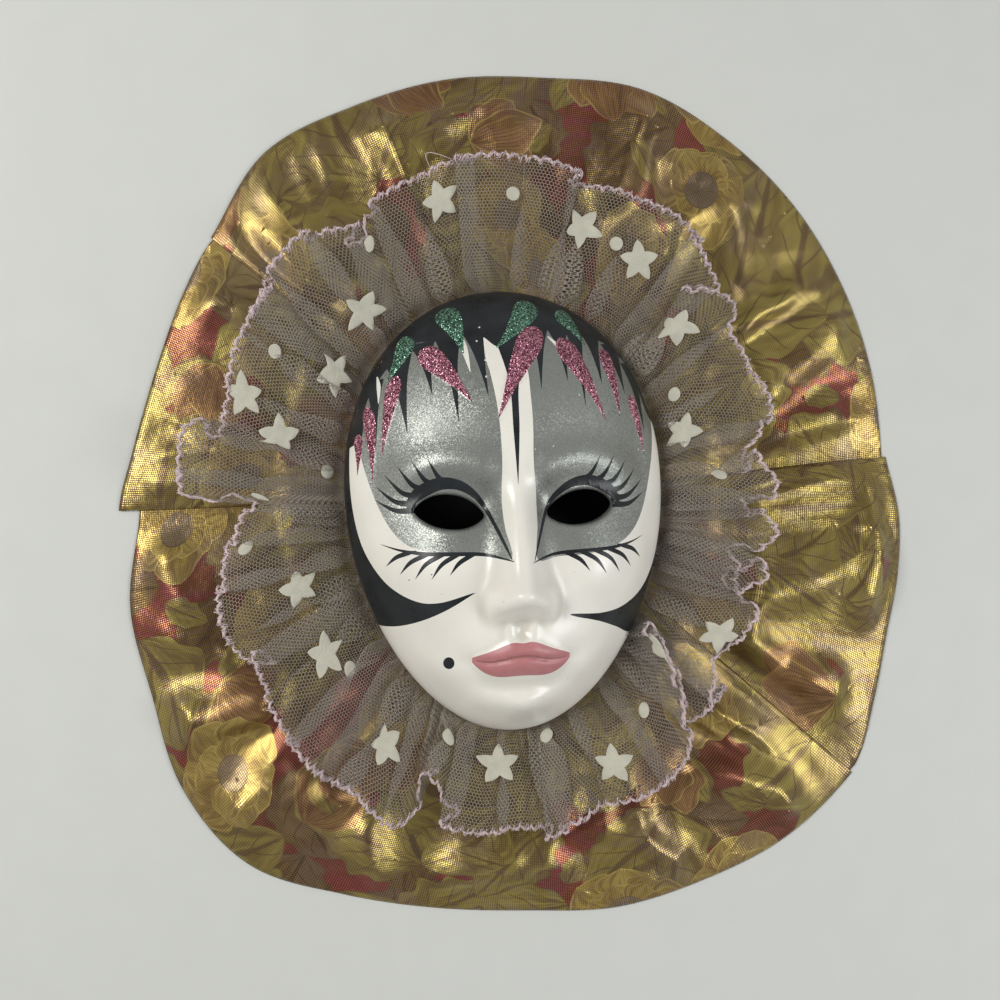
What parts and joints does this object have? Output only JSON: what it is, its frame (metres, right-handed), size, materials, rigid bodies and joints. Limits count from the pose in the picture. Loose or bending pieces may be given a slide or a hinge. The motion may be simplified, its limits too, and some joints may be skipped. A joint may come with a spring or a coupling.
{
  "type": "ceramic wall mask",
  "caption": "Hollow painted ceramic face on a gathered star tulle ruffle and a pleated gold fabric collar, lying on a round backing card.",
  "frame": {"origin": "underside of the backing card, below the middle of the collar's outline", "axes": "+Z out of the face, +Y towards the top of the head, +X to the viewer's right"},
  "size_m": [0.2974, 0.3156, 0.0571],
  "materials": {
    "painted_ceramic": "white glazed ceramic painted black, silver, pink and green glitter",
    "star_tulle": "open hexagonal net with raised stars and dots and a mauve overlocked edge",
    "gold_lame": "crisp metallic weave with a printed flower pattern",
    "black_card": "matt black paperboard"
  },
  "bodies": {
    "root": {"face_mask": "painted_ceramic", "tulle_ruffle": "star_tulle", "fabric_collar": "gold_lame", "backing_card": "black_card"}
  },
  "joints": []
}
